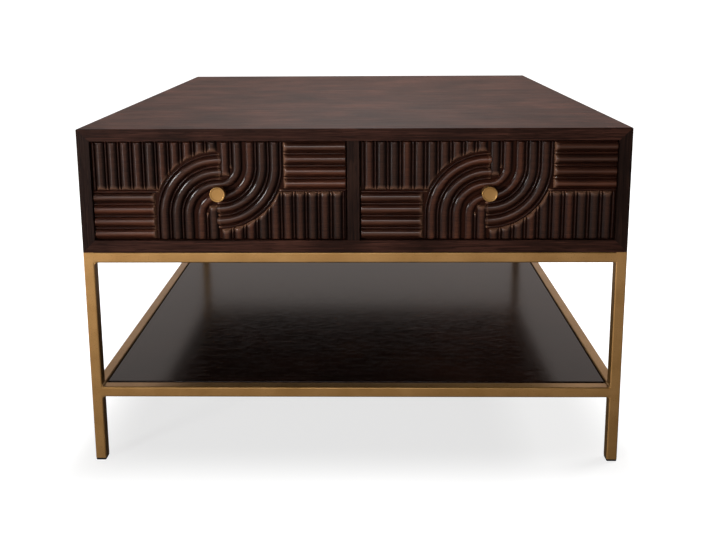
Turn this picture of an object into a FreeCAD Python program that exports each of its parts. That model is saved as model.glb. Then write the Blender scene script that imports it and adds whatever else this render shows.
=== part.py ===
import FreeCAD, Part
import os

import Sketcher
from FreeCAD import Placement, Rotation, Vector

# A square coffee table: a stained hardwood case with two carved drawers, on a
# square-tube steel frame with a lower shelf. Millimetres, +Z up, the front faces -Y.
# The origin is on the floor, under the middle of the whole table, knobs included.

doc = FreeCAD.newDocument("CoffeeTable")
sheet = doc.addObject("Spreadsheet::Sheet", "Size")

sizes = [
    # the whole table
    ("table_width", 750),
    ("table_depth", 750),
    ("table_height", 485),
    # case of boards, mitred at its corners
    ("case_height", 173),
    ("board", 17),
    ("partition", 17),
    ("arris", 1.2),
    ("back_board", 12),
    ("back_recess", 2),
    # drawer fronts and their reeded carving
    ("front_gap", 1.5),
    ("front_recess", 1),
    ("front_board", 15),
    ("reed_pitch", 17),
    ("reed_width", 12),
    ("reed_crest", 5),
    ("reed_height", 4.5),
    ("reed_root", 1),
    ("reed_end_gap", 3),
    # drawer boxes
    ("drawer_length", 600),
    ("drawer_travel", 400),
    ("drawer_side", 14),
    ("drawer_side_height", 112),
    ("drawer_lift", 6),
    ("drawer_back", 12),
    ("drawer_bottom", 5),
    ("bottom_rise", 8),
    ("bottom_housing", 5),
    ("side_gap", 2),
    # runners that fit grooves in the drawer sides
    ("runner_height", 18),
    ("groove_depth", 7),
    ("slide_gap", 0.3),
    ("runner_play", 0.5),
    ("close_gap", 0.5),
    # blocks that stop the drawers at full travel
    ("stop_length", 30),
    ("stop_width", 40),
    ("stop_catch", 8),
    ("stop_gap", 0.5),
    # turned knobs
    ("knob_radius", 10.5),
    ("knob_projection", 14),
    ("knob_head", 10),
    ("knob_edge", 0.8),
    ("knob_neck_radius", 6),
    ("knob_seat_gap", 0.5),
    ("knob_bore_depth", 12),
    ("knob_drop", 1.5),
    # frame of square tube
    ("tube", 15),
    ("tube_wall", 1.2),
    ("tube_corner", 1.8),
    ("shelf_height", 113),
    ("plug_cap", 3.5),
    ("plug_stem", 12),
    ("plug_gap", 0.1),
    ("plate_leg", 55),
    ("plate_clip", 6),
    ("plate_steel", 3),
    # shelf on flat bearers
    ("shelf_board", 12),
    ("shelf_gap", 3),
    ("bearer_width", 25),
    ("bearer_inset", 180),
    # screws
    ("screw_radius", 2),
    ("screw_head_radius", 4),
    ("screw_head", 2.4),
    ("screw_clearance", 0.1),
    ("plate_bite", 11),
    ("knob_screw_tip_gap", 1),
    # every cut runs this far past the face it opens
    ("overrun", 2),
]
for row, (alias, number) in enumerate(sizes, start=1):
    sheet.set(f"A{row}", alias)
    sheet.set(f"B{row}", str(number))
    sheet.setAlias(f"B{row}", alias)
doc.recompute()

# places worked out from the sizes, as expressions
front_y = "((Size.knob_projection - Size.front_recess - Size.table_depth) / 2)"
back_y = f"({front_y} + Size.table_depth)"
side_x = "(Size.table_width / 2)"
frame_height = "(Size.table_height - Size.case_height)"
floor_z = f"({frame_height} + Size.board)"
ceiling_z = "(Size.table_height - Size.board)"
opening_width = "((Size.table_width - 2 * Size.board - Size.partition) / 2)"
opening_height = "(Size.case_height - 2 * Size.board)"
inner_back_y = f"({back_y} - Size.back_recess - Size.back_board)"

front_width = f"({opening_width} - 2 * Size.front_gap)"
front_height = f"({opening_height} - 2 * Size.front_gap)"
ground_y = f"({front_y} + Size.front_recess + Size.reed_height)"
box_y = f"({ground_y} + Size.front_board)"
box_z = f"({floor_z} + Size.drawer_lift)"
box_width = f"({opening_width} - 2 * Size.side_gap)"
bottom_z = f"({box_z} + Size.bottom_rise)"
inner_width = f"({box_width} - 2 * Size.drawer_side)"
housed_width = f"({inner_width} + 2 * Size.bottom_housing)"
runner_z = f"({box_z} + (Size.drawer_side_height - Size.runner_height) / 2)"
runner_y = f"({box_y} + Size.close_gap)"
runner_length = f"({inner_back_y} - {runner_y})"
runner_thickness = "(Size.side_gap + Size.groove_depth - Size.runner_play)"
hole_radius = "(Size.screw_radius + Size.screw_clearance)"
rail_length_x = "(Size.table_width - 2 * Size.tube)"
rail_length_y = "(Size.table_depth - 2 * Size.tube)"

axis_x = Vector(1, 0, 0)
axis_y = Vector(0, 1, 0)
axis_z = Vector(0, 0, 1)
quarter_turn = 90
half_turn = 180

# an edge that leans by less than this share of its length counts as parallel
slant_share = 1e-6

nodes = []


def value(expression):
    """The number that an expression of sizes gives."""
    result = sheet.evalExpression(expression)
    return float(getattr(result, "Value", result))


def bind(thing, path, expression):
    """Bind one property of an object to an expression of sizes."""
    thing.setExpression(path, expression)


def place(thing, position, rotation=Rotation()):
    """Turn an object, then bind the place of its origin."""
    thing.Placement = Placement(Vector(), rotation)
    for letter, expression in zip("xyz", position):
        bind(thing, f"Placement.Base.{letter}", expression)
    return thing


def node(thing, name):
    """Name an object as one sub-part of the table."""
    thing.Label = name
    nodes.append(thing)
    return thing


# solids from primitives

def box(name, lengths, corner):
    """A box from its lowest corner."""
    solid = doc.addObject("Part::Box", name)
    for path, expression in zip(("Length", "Width", "Height"), lengths):
        bind(solid, path, expression)
    return place(solid, corner)


def cylinder(name, radius, length, start, direction):
    """A cylinder that starts at a point and runs along a direction."""
    solid = doc.addObject("Part::Cylinder", name)
    bind(solid, "Radius", radius)
    bind(solid, "Height", length)
    return place(solid, start, Rotation(axis_z, direction))


def along(start, direction, distance):
    """The point that lies a distance from a start, along a row axis."""
    steps = (direction.x, direction.y, direction.z)
    return [f"({coordinate} + {step:g} * {distance})" for coordinate, step in zip(start, steps)]


def joined(name, solids):
    """Several solids fused to one."""
    fused = doc.addObject("Part::MultiFuse", name)
    fused.Shapes = solids
    return fused


def cut(name, solid, tools):
    """A solid with tools cut out of it."""
    remainder = doc.addObject("Part::Cut", name)
    remainder.Base = solid
    if len(tools) == 1:
        remainder.Tool = tools[0]
    else:
        remainder.Tool = doc.addObject("Part::Compound", name + "_tools")
        remainder.Tool.Links = tools
    return remainder


def group(name, solids):
    """Identical solids that stay apart, as one sub-part."""
    together = doc.addObject("Part::Compound", name)
    together.Links = solids
    return node(together, name)


# screws, and the holes that they need

def pan_screw(start, direction, length):
    """A screw whose flat head stands on the face that it starts from."""
    under = along(start, direction, "-Size.screw_head")
    head = cylinder("pan_head", "Size.screw_head_radius", "Size.screw_head", under, direction)
    shank = cylinder("shank", "Size.screw_radius", length, start, direction)
    return joined("pan_screw", [head, shank])


def through_hole(start, direction, depth):
    """A clearance hole right through a piece this thick."""
    before = along(start, direction, "-Size.overrun")
    return cylinder("hole", hole_radius, f"{depth} + 2 * Size.overrun", before, direction)


# bodies from sketches

def body(name):
    return doc.addObject("PartDesign::Body", name)


def sketch_on(owner, role, name):
    """A sketch on one of the body's own origin planes."""
    sketch = owner.newObject("Sketcher::SketchObject", name)
    support = [plane for plane in owner.Origin.OriginFeatures if plane.Role == role]
    sketch.AttachmentSupport = [(support[0], "")]
    sketch.MapMode = "FlatFace"
    return sketch


def fix_point(sketch, geometry, end, x, y):
    """Bind one end of a line to its distances from the sketch's origin."""
    for kind, expression, other_axis in (("DistanceX", x, -2), ("DistanceY", y, -1)):
        if expression == "0":
            sketch.addConstraint(Sketcher.Constraint("PointOnObject", geometry, end, other_axis))
        else:
            rule = Sketcher.Constraint(kind, -1, 1, geometry, end, value(expression))
            number = sketch.addConstraint(rule)
            bind(sketch, f"Constraints[{number}]", expression)


def outline(sketch, corners):
    """A closed outline of straight lines through corners given as expressions."""
    points = [Vector(value(x), value(y), 0) for x, y in corners]
    first = sketch.GeometryCount
    count = len(corners)
    for index in range(count):
        sketch.addGeometry(Part.LineSegment(points[index], points[(index + 1) % count]), False)
    for index in range(count):
        following = first + (index + 1) % count
        sketch.addConstraint(Sketcher.Constraint("Coincident", first + index, 2, following, 1))
    for index, (x, y) in enumerate(corners):
        fix_point(sketch, first + index, 1, x, y)


def square(sketch, half):
    """A square about the sketch's origin."""
    low = f"-({half})"
    outline(sketch, [(low, low), (half, low), (half, half), (low, half)])


def pad(owner, sketch, length, name, reverse=False):
    feature = owner.newObject("PartDesign::Pad", name)
    feature.Profile = sketch
    feature.Reversed = reverse
    bind(feature, "Length", length)
    return feature


def pocket(owner, sketch, depth, name, reverse=False):
    feature = owner.newObject("PartDesign::Pocket", name)
    feature.Profile = sketch
    feature.Reversed = reverse
    bind(feature, "Length", depth)
    return feature


def revolve(owner, sketch, angle, name):
    """Turn a profile about the sketch's own upright axis."""
    feature = owner.newObject("PartDesign::Revolution", name)
    feature.Profile = sketch
    feature.ReferenceAxis = (sketch, ["V_Axis"])
    feature.Angle = angle
    return feature


def dress(owner, kind, base, radius_path, radius, chosen):
    """Round or bevel those edges of a feature that a test picks."""
    doc.recompute()
    numbered = enumerate(base.Shape.Edges, start=1)
    edges = [f"Edge{number}" for number, edge in numbered if chosen(edge)]
    feature = owner.newObject(kind, "Edges")
    feature.Base = (base, edges)
    bind(feature, radius_path, radius)
    return feature


def runs_along(edge, direction):
    """Whether an edge is straight and parallel to a direction."""
    if len(edge.Vertexes) != 2:
        return False
    step = edge.Vertexes[1].Point - edge.Vertexes[0].Point
    return step.cross(direction).Length < slant_share * step.Length


# the case

def mitred_board(name, long_side, position, turn):
    """A board with mitred ends, its outer face upwards before it is turned about Y."""
    piece = body(name + "_body")
    profile = sketch_on(piece, "XZ_Plane", "Mitres")
    tip = f"({long_side} / 2 - Size.arris)"
    shoulder = f"({long_side} / 2 - Size.arris / 2)"
    heel = f"({long_side} / 2 - Size.board)"
    right = [(heel, "-Size.board"), (shoulder, "-Size.arris / 2"), (tip, "0")]
    left = [(f"-{x}", y) for x, y in reversed(right)]
    outline(profile, right + left)
    slab = pad(piece, profile, "Size.table_depth", "Slab", reverse=True)

    def outer_end(edge):
        middle = edge.BoundBox.Center
        return runs_along(edge, axis_x) and abs(middle.z) < value("Size.arris / 4")

    dress(piece, "PartDesign::Chamfer", slab, "Size", "Size.arris", outer_end)
    return place(piece, position, Rotation(axis_y, turn))


corner_places = []
for name, sign_x, sign_y, turn in (
    ("front_left", 1, 1, 0),
    ("front_right", -1, 1, 1),
    ("back_right", -1, -1, 2),
    ("back_left", 1, -1, 3),
):
    corner_x = f"({-sign_x} * ({side_x} - Size.tube))"
    wall_y = front_y if sign_y > 0 else back_y
    corner_y = f"({wall_y} + {sign_y} * Size.tube)"
    corner_places.append((name, corner_x, corner_y, sign_x, sign_y, turn * quarter_turn))

plate_hole_share = 1 / 3

drawer_centres = []
for prefix, sign in (("left", -1), ("right", 1)):
    drawer_centres.append((prefix, f"({sign} * (Size.partition + {opening_width}) / 2)"))

middle_z = f"(({frame_height} + Size.table_height) / 2)"
for name, long_side, position, turn in (
    ("top_panel", "Size.table_width", ("0", front_y, "Size.table_height"), 0),
    ("bottom_panel", "Size.table_width", ("0", front_y, frame_height), half_turn),
    ("left_side", "Size.case_height", (f"-{side_x}", front_y, middle_z), -quarter_turn),
    ("right_side", "Size.case_height", (side_x, front_y, middle_z), quarter_turn),
):
    node(mitred_board(name, long_side, position, turn), name)
node(
    box(
        "centre_partition",
        ("Size.partition", f"{inner_back_y} - {front_y}", opening_height),
        ("-Size.partition / 2", front_y, floor_z),
    ),
    "centre_partition",
)
node(
    box(
        "back_panel",
        ("Size.table_width - 2 * Size.board", "Size.back_board", opening_height),
        (f"-({side_x} - Size.board)", inner_back_y, floor_z),
    ),
    "back_panel",
)

# hardwood runners, glued and pinned to the walls of the drawer openings
for name, drawer_sign, way in (
    ("left_outer_runner", -1, -1),
    ("left_inner_runner", -1, 1),
    ("right_inner_runner", 1, -1),
    ("right_outer_runner", 1, 1),
):
    centre_x = f"({drawer_sign} * (Size.partition + {opening_width}) / 2)"
    wall_x = f"({centre_x} + {way} * {opening_width} / 2)"
    low_x = f"({wall_x} - {runner_thickness})" if way > 0 else wall_x
    lengths = (runner_thickness, runner_length, "Size.runner_height")
    node(box(name, lengths, (low_x, runner_y, runner_z)), name)

# blocks glued under the top, which each drawer's back meets at full travel
drawer_back_y = f"({box_y} + Size.drawer_length - Size.drawer_back)"
stop_y = f"({drawer_back_y} - Size.drawer_travel - Size.stop_gap - Size.stop_length)"
stop_z = f"({box_z} + Size.drawer_side_height - Size.stop_catch)"
for prefix, x in drawer_centres:
    name = prefix + "_drawer_stop"
    lengths = ("Size.stop_width", "Size.stop_length", f"{ceiling_z} - {stop_z}")
    node(box(name, lengths, (f"{x} - Size.stop_width / 2", stop_y, stop_z)), name)


# the drawers

def carving_sketch(owner, role, name, half, offset="0"):
    """A sketch for one half of the carving: the second half is turned about the centre."""
    sketch = sketch_on(owner, role, name)
    turn_axis = {"XY_Plane": axis_y, "XZ_Plane": axis_z, "YZ_Plane": axis_x}[role]
    sketch.AttachmentOffset = Placement(Vector(), Rotation(turn_axis, half * half_turn))
    sign = -1 if half else 1
    bind(sketch, "AttachmentOffset.Base.z", f"{sign} * {offset}")
    return sketch


def reed(sketch, centre, level=False):
    """The section of one reed: bevelled flanks and a crest, rooted in the ground of the carving."""
    foot = "Size.reed_width / 2"
    crest = "Size.reed_crest / 2"
    corners = [
        (f"{centre} - {foot}", "Size.reed_root"),
        (f"{centre} - {foot}", "0"),
        (f"{centre} - {crest}", "-Size.reed_height"),
        (f"{centre} + {crest}", "-Size.reed_height"),
        (f"{centre} + {foot}", "0"),
        (f"{centre} + {foot}", "Size.reed_root"),
    ]
    outline(sketch, [(y, x) for x, y in corners] if level else corners)


def repeat(owner, feature, sketch, axis, count, name):
    """Copies of a reed, one pitch apart, against the sketch's axis."""
    pattern = owner.newObject("PartDesign::LinearPattern", name)
    pattern.Originals = [feature]
    pattern.Direction = (sketch, [axis])
    pattern.Reversed = True
    pattern.Occurrences = count
    bind(pattern, "Length", f"{count - 1} * Size.reed_pitch")
    owner.Tip = pattern
    return pattern


# the carving is laid out on the reed pitch, from the centre of the drawer front
rim_reeds = 5
turn_drop = 2
level_reeds = 4


def carved_front(name):
    """A board whose face is carved into reeds, the same after half a turn."""
    front = body(name + "_body")
    half_width = f"({front_width} / 2)"
    half_height = f"({front_height} / 2)"
    face = sketch_on(front, "XZ_Plane", "Face")
    outline(face, [
        (f"-{half_width}", f"-{half_height}"),
        (half_width, f"-{half_height}"),
        (half_width, half_height),
        (f"-{half_width}", half_height),
    ])
    pad(front, face, "Size.front_board", "Board", reverse=True)
    spare = value(half_width) - value("Size.reed_width / 2")
    upright_reeds = int(spare / value("Size.reed_pitch") + 1 / 2)
    for half in range(2):
        # upright reeds over the outer top corner
        stem = carving_sketch(front, "XY_Plane", "UprightSection", half)
        reed(stem, "(-Size.reed_pitch / 2)")
        upright = pad(front, stem, half_height, "UprightReed")
        repeat(front, upright, stem, "H_Axis", upright_reeds, "UprightReeds")
        # room for the turning strands: the part of a disc that reaches into the upright reeds
        rim = carving_sketch(front, "XZ_Plane", "RimOutline", half)
        rim_radius = f"({rim_reeds} * Size.reed_pitch)"
        drop = f"({turn_drop} * Size.reed_pitch)"
        rim_foot = f"(-sqrt({rim_radius} ^ 2 - {drop} ^ 2))"
        rim_top = f"({rim_radius} - {drop})"
        start = Vector(value(rim_foot), 0, 0)
        end = Vector(0, value(rim_top), 0)
        bend = Vector(-1, 1, 0) * value(rim_radius) * 2 ** (-1 / 2) - Vector(0, value(drop), 0)
        rim.addGeometry(Part.Arc(start, bend, end), False)
        rim.addGeometry(Part.LineSegment(start, Vector()), False)
        rim.addGeometry(Part.LineSegment(Vector(), end), False)
        begins_at_foot = rim.getPoint(0, 1).distanceToPoint(start) < value("Size.reed_pitch")
        foot_end, top_end = (1, 2) if begins_at_foot else (2, 1)
        rim.addConstraint(Sketcher.Constraint("Coincident", 0, foot_end, 1, 1))
        rim.addConstraint(Sketcher.Constraint("Coincident", 1, 2, 2, 1))
        rim.addConstraint(Sketcher.Constraint("Coincident", 2, 2, 0, top_end))
        rim.addConstraint(Sketcher.Constraint("Coincident", 1, 2, -1, 1))
        fix_point(rim, 1, 1, rim_foot, "0")
        fix_point(rim, 2, 2, "0", rim_top)
        number = rim.addConstraint(Sketcher.Constraint("Radius", 0, value(rim_radius)))
        bind(rim, f"Constraints[{number}]", rim_radius)
        pocket(front, rim, "Size.reed_height + Size.overrun", "RimRoom", reverse=True)
        # strands that rise from the lower edge and turn a quarter towards the middle
        for strand in range(rim_reeds):
            section = carving_sketch(front, "XY_Plane", f"StrandSection{strand}", half, f"(-{drop})")
            reed(section, f"(-{strand + 1 / 2} * Size.reed_pitch)")
            pad(front, section, f"{half_height} - {drop}", f"StrandStem{strand}", reverse=True)
            if strand:
                revolve(front, section, quarter_turn, f"StrandTurn{strand}")
            else:
                pad(front, section, "Size.reed_pitch", "StrandTip")
        # level reeds in the outer lower corner
        inner_end = f"({rim_reeds} * Size.reed_pitch + Size.reed_end_gap)"
        bar = carving_sketch(front, "YZ_Plane", "LevelSection", half, f"(-{inner_end})")
        reed(bar, "(-Size.reed_pitch / 2)", level=True)
        level = pad(front, bar, f"{half_width} - {inner_end}", "LevelReed", reverse=True)
        repeat(front, level, bar, "V_Axis", level_reeds, "LevelReeds")
    return front


for prefix, x in drawer_centres:
    centre_z = f"({floor_z} + {opening_height} / 2)"
    carved = carved_front(prefix + "_drawer_front")
    place(carved, (x, ground_y, centre_z))
    knob_z = f"({centre_z} - Size.knob_drop)"
    seat_radius = "(Size.knob_neck_radius + Size.knob_seat_gap)"
    seat_depth = "(Size.reed_height + Size.overrun)"
    seat_start = (x, f"({ground_y} - {seat_depth})", knob_z)
    seat = cylinder("knob_seat", seat_radius, seat_depth, seat_start, axis_y)
    hole = through_hole((x, ground_y, knob_z), axis_y, "Size.front_board")
    housing = box(
        "bottom_housing_cut",
        (housed_width, "Size.bottom_housing + Size.overrun", "Size.drawer_bottom"),
        (f"{x} - {housed_width} / 2", f"{box_y} - Size.bottom_housing", bottom_z),
    )
    name = prefix + "_drawer_front"
    node(cut(name, carved, [seat, hole, housing]), name)

    for hand, sign in (("left", -1), ("right", 1)):
        name = f"{prefix}_drawer_{hand}_side"
        outer_x = f"({x} + {sign} * {box_width} / 2)"
        low_x = outer_x if sign < 0 else f"({outer_x} - Size.drawer_side)"
        lengths = ("Size.drawer_side", "Size.drawer_length", "Size.drawer_side_height")
        side = box(name + "_board", lengths, (low_x, box_y, box_z))
        long_cut = "Size.drawer_length + 2 * Size.overrun"
        start_y = f"{box_y} - Size.overrun"
        groove_x = f"({outer_x} - Size.overrun)" if sign < 0 else f"({outer_x} - Size.groove_depth)"
        groove = box(
            name + "_groove",
            ("Size.groove_depth + Size.overrun", long_cut, "Size.runner_height + 2 * Size.slide_gap"),
            (groove_x, start_y, f"{runner_z} - Size.slide_gap"),
        )
        inner_x = f"({outer_x} - {sign} * Size.drawer_side)"
        slot_x = f"({inner_x} - Size.bottom_housing)" if sign < 0 else f"({inner_x} - Size.overrun)"
        slot = box(
            name + "_slot",
            ("Size.bottom_housing + Size.overrun", long_cut, "Size.drawer_bottom"),
            (slot_x, start_y, bottom_z),
        )
        node(cut(name, side, [groove, slot]), name)

    # the back stands on the bottom, which slides in under it
    name = prefix + "_drawer_back"
    height = "Size.drawer_side_height - Size.bottom_rise - Size.drawer_bottom"
    corner = (f"{x} - {inner_width} / 2", drawer_back_y, f"{bottom_z} + Size.drawer_bottom")
    node(box(name, (inner_width, "Size.drawer_back", height), corner), name)

    name = prefix + "_drawer_bottom"
    lengths = (housed_width, "Size.drawer_length + Size.bottom_housing", "Size.drawer_bottom")
    corner = (f"{x} - {housed_width} / 2", f"{box_y} - Size.bottom_housing", bottom_z)
    node(box(name, lengths, corner), name)

    # a turned knob: a bevelled head on a neck that stands on the ground of the carving
    knob = body(prefix + "_knob_body")
    section = sketch_on(knob, "XY_Plane", "Section")
    face_y = "(Size.reed_height + Size.knob_projection)"
    outline(section, [
        ("0", "0"),
        ("Size.knob_neck_radius", "0"),
        ("Size.knob_neck_radius", f"-({face_y} - Size.knob_head)"),
        ("Size.knob_radius", f"-({face_y} - Size.knob_head)"),
        ("Size.knob_radius", f"-({face_y} - Size.knob_edge)"),
        ("Size.knob_radius - Size.knob_edge", f"-{face_y}"),
        ("0", f"-{face_y}"),
    ])
    revolve(knob, section, 2 * half_turn, "Turning")
    place(knob, (x, ground_y, knob_z))
    bore_start = (x, f"({ground_y} + Size.overrun)", knob_z)
    bore = cylinder("knob_bore", hole_radius, "Size.knob_bore_depth + Size.overrun", bore_start, -axis_y)
    node(cut(prefix + "_knob", knob, [bore]), prefix + "_knob")
    reach = "(Size.front_board + Size.knob_bore_depth - Size.knob_screw_tip_gap)"
    node(pan_screw((x, box_y, knob_z), -axis_y, reach), prefix + "_knob_screw")


# the tube frame

def tube(name, length, role, reverse, position):
    """A length of square tube along the normal of an origin plane."""
    piece = body(name)
    section = sketch_on(piece, role, "Section")
    square(section, "Size.tube / 2")
    square(section, "Size.tube / 2 - Size.tube_wall")
    rod = pad(piece, section, length, "Tube", reverse)
    direction = {"XY_Plane": axis_z, "XZ_Plane": axis_y, "YZ_Plane": axis_x}[role]
    middle = value("Size.tube / 2 - Size.tube_wall / 2")

    def outer_corner(edge):
        centre = edge.BoundBox.Center
        across = centre - direction * centre.dot(direction)
        return runs_along(edge, direction) and across.Length > middle * 2 ** (1 / 2)

    dress(piece, "PartDesign::Fillet", rod, "Radius", "Size.tube_corner", outer_corner)
    place(piece, position)
    return node(piece, name)


def is_upright(edge):
    return runs_along(edge, axis_z)


plate_z = f"({frame_height} - Size.plate_steel)"
plate_screws = []
for name, corner_x, corner_y, sign_x, sign_y, turn in corner_places:
    x = f"({corner_x} - {sign_x} * Size.tube / 2)"
    y = f"({corner_y} - {sign_y} * Size.tube / 2)"
    tube(f"{name}_leg", f"{frame_height} - Size.plug_cap", "XY_Plane", False, (x, y, "Size.plug_cap"))

    # a plastic plug whose cap is the foot and whose stem fills the end of the tube
    plug = body(f"{name}_foot_plug")
    section = sketch_on(plug, "XY_Plane", "CapSection")
    square(section, "Size.tube / 2")
    cap = pad(plug, section, "Size.plug_cap", "Cap")
    dress(plug, "PartDesign::Fillet", cap, "Radius", "Size.tube_corner", is_upright)
    stem = sketch_on(plug, "XY_Plane", "StemSection")
    square(stem, "Size.tube / 2 - Size.tube_wall - Size.plug_gap")
    pad(plug, stem, "Size.plug_cap + Size.plug_stem", "Stem")
    place(plug, (x, y, "0"))
    node(plug, f"{name}_foot_plug")

    # a plate welded into the corner of the upper ring, flush with its top
    plate = body(f"{name}_plate_body")
    shape = sketch_on(plate, "XY_Plane", "PlateOutline")
    outline(shape, [
        ("0", "0"),
        ("Size.plate_leg", "0"),
        ("Size.plate_leg", "Size.plate_clip"),
        ("Size.plate_clip", "Size.plate_leg"),
        ("0", "Size.plate_leg"),
    ])
    pad(plate, shape, "Size.plate_steel", "Plate")
    place(plate, (corner_x, corner_y, plate_z), Rotation(axis_z, turn))
    screw_x = f"({corner_x} + {sign_x * plate_hole_share} * Size.plate_leg)"
    screw_y = f"({corner_y} + {sign_y * plate_hole_share} * Size.plate_leg)"
    screw_place = (screw_x, screw_y, plate_z)
    hole = through_hole(screw_place, axis_z, "Size.plate_steel")
    node(cut(f"{name}_corner_plate", plate, [hole]), f"{name}_corner_plate")
    plate_screws.append(pan_screw(screw_place, axis_z, "(Size.plate_steel + Size.plate_bite)"))

group("plate_screws", plate_screws)

# two rings of rails: the upper one carries the case, the lower one the shelf
ring_x = f"({side_x} - Size.tube)"
ring_y = f"({front_y} + Size.tube)"
rail_x = f"({side_x} - Size.tube / 2)"
front_rail_y = f"({front_y} + Size.tube / 2)"
back_rail_y = f"({back_y} - Size.tube / 2)"
for ring, top_z in (("top", frame_height), ("lower", "Size.shelf_height")):
    z = f"({top_z} - Size.tube / 2)"
    tube(f"{ring}_front_rail", rail_length_x, "YZ_Plane", False, (f"(-{ring_x})", front_rail_y, z))
    tube(f"{ring}_back_rail", rail_length_x, "YZ_Plane", False, (f"(-{ring_x})", back_rail_y, z))
    tube(f"{ring}_left_rail", rail_length_y, "XZ_Plane", True, (f"(-{rail_x})", ring_y, z))
    tube(f"{ring}_right_rail", rail_length_y, "XZ_Plane", True, (rail_x, ring_y, z))

# the shelf lies on flat bearers welded across the lower ring, flush with the top of the ring
shelf_z = "(Size.shelf_height - Size.shelf_board)"
for name, sign in (("left_shelf_bearer", -1), ("right_shelf_bearer", 1)):
    x = f"({sign} * ({ring_x} - Size.bearer_inset))"
    corner = (f"{x} - Size.bearer_width / 2", ring_y, f"{shelf_z} - Size.plate_steel")
    node(box(name, ("Size.bearer_width", rail_length_y, "Size.plate_steel"), corner), name)
shelf_width = f"{rail_length_x} - 2 * Size.shelf_gap"
shelf_depth = f"{rail_length_y} - 2 * Size.shelf_gap"
corner = (f"Size.shelf_gap - {ring_x}", f"{ring_y} + Size.shelf_gap", shelf_z)
node(box("shelf_panel", (shelf_width, shelf_depth, "Size.shelf_board"), corner), "shelf_panel")

doc.recompute()

# nothing is written unless every object and every sub-part is sound
broken = [thing.Label for thing in doc.Objects if {"Invalid", "Error"} & set(thing.State)]
broken += [thing.Label for thing in nodes if thing.Shape.isNull() or not thing.Shape.isValid()]
if broken:
    raise RuntimeError("not sound: " + ", ".join(broken))
os.makedirs("parts", exist_ok=True)
for thing in nodes:
    thing.Shape.exportStep(os.path.join("parts", thing.Label + ".step"))
print(len(nodes), "sub-parts written")
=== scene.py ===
import math
import random

import bmesh
import bpy
from mathutils import Matrix, Vector


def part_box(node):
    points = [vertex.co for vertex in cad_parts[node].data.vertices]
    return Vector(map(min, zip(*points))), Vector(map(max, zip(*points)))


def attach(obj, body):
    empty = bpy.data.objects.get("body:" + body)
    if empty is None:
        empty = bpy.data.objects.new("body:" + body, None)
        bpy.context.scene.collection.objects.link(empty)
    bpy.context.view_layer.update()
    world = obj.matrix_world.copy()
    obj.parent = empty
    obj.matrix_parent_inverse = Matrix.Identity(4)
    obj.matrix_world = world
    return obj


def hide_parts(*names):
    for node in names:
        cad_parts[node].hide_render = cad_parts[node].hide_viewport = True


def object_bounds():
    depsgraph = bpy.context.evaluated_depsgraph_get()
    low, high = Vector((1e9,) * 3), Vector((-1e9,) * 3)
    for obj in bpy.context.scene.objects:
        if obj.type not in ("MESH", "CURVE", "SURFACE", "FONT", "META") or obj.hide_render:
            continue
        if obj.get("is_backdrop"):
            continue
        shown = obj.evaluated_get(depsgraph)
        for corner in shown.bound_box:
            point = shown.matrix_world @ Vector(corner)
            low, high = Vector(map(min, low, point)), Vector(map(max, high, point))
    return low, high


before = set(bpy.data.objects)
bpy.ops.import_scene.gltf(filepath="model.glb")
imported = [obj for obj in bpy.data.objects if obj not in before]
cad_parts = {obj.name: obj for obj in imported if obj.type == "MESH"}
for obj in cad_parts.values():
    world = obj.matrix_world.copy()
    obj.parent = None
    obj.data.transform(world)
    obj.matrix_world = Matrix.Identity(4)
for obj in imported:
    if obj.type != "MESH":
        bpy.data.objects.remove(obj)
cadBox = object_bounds()
scene = bpy.context.scene
mm = 0.001


# small helpers, all in millimetres and degrees

near = 1e-3  # places less than this apart count as the same
easing = {"sharpFrom": 30, "segments": 3, "smoothUpTo": 40}


def boxOf(node):  # lowest and highest corner of a CAD node
    low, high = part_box(node)
    return low / mm, high / mm


def prism(outline, axis, start, end):  # an outline pushed straight along an axis
    spots = {
        "x": lambda a, b, reach: (reach, a, b),
        "y": lambda a, b, reach: (a, reach, b),
        "z": lambda a, b, reach: (a, b, reach),
    }
    shape = bmesh.new()
    first = [shape.verts.new(spots[axis](a, b, start)) for a, b in outline]
    last = [shape.verts.new(spots[axis](a, b, end)) for a, b in outline]
    shape.faces.new(first)
    shape.faces.new(last)
    for i in range(len(outline)):
        j = (i + 1) % len(outline)
        shape.faces.new((first[i], first[j], last[j], last[i]))
    bmesh.ops.recalc_face_normals(shape, faces=shape.faces)
    return shape


def block(low, high):  # a plain block between two corners, to be eased or added to a shape
    outline = [(low[0], low[1]), (high[0], low[1]), (high[0], high[1]), (low[0], high[1])]
    return prism(outline, "z", low[2], high[2])


def arc(centre, radius, first, last, steps):  # points of an arc
    turns = [math.radians(first + (last - first) * i / steps) for i in range(steps + 1)]
    return [(centre[0] + radius * math.cos(t), centre[1] + radius * math.sin(t)) for t in turns]


def ease(shape, radius, chosen=lambda edge: True):  # round the sharp edges over
    edges = [
        edge for edge in shape.edges
        if math.degrees(edge.calc_face_angle(0)) > easing["sharpFrom"] and chosen(edge)
    ]
    bmesh.ops.bevel(
        shape, geom=edges, offset=radius, segments=easing["segments"], profile=0.5, affect="EDGES",
        clamp_overlap=True,
    )
    return shape


def add(part, shape):  # the part goes into the shape as loose faces
    mesh = bpy.data.meshes.new("part")
    part.to_mesh(mesh)
    part.free()
    shape.from_mesh(mesh)
    bpy.data.meshes.remove(mesh)


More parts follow.
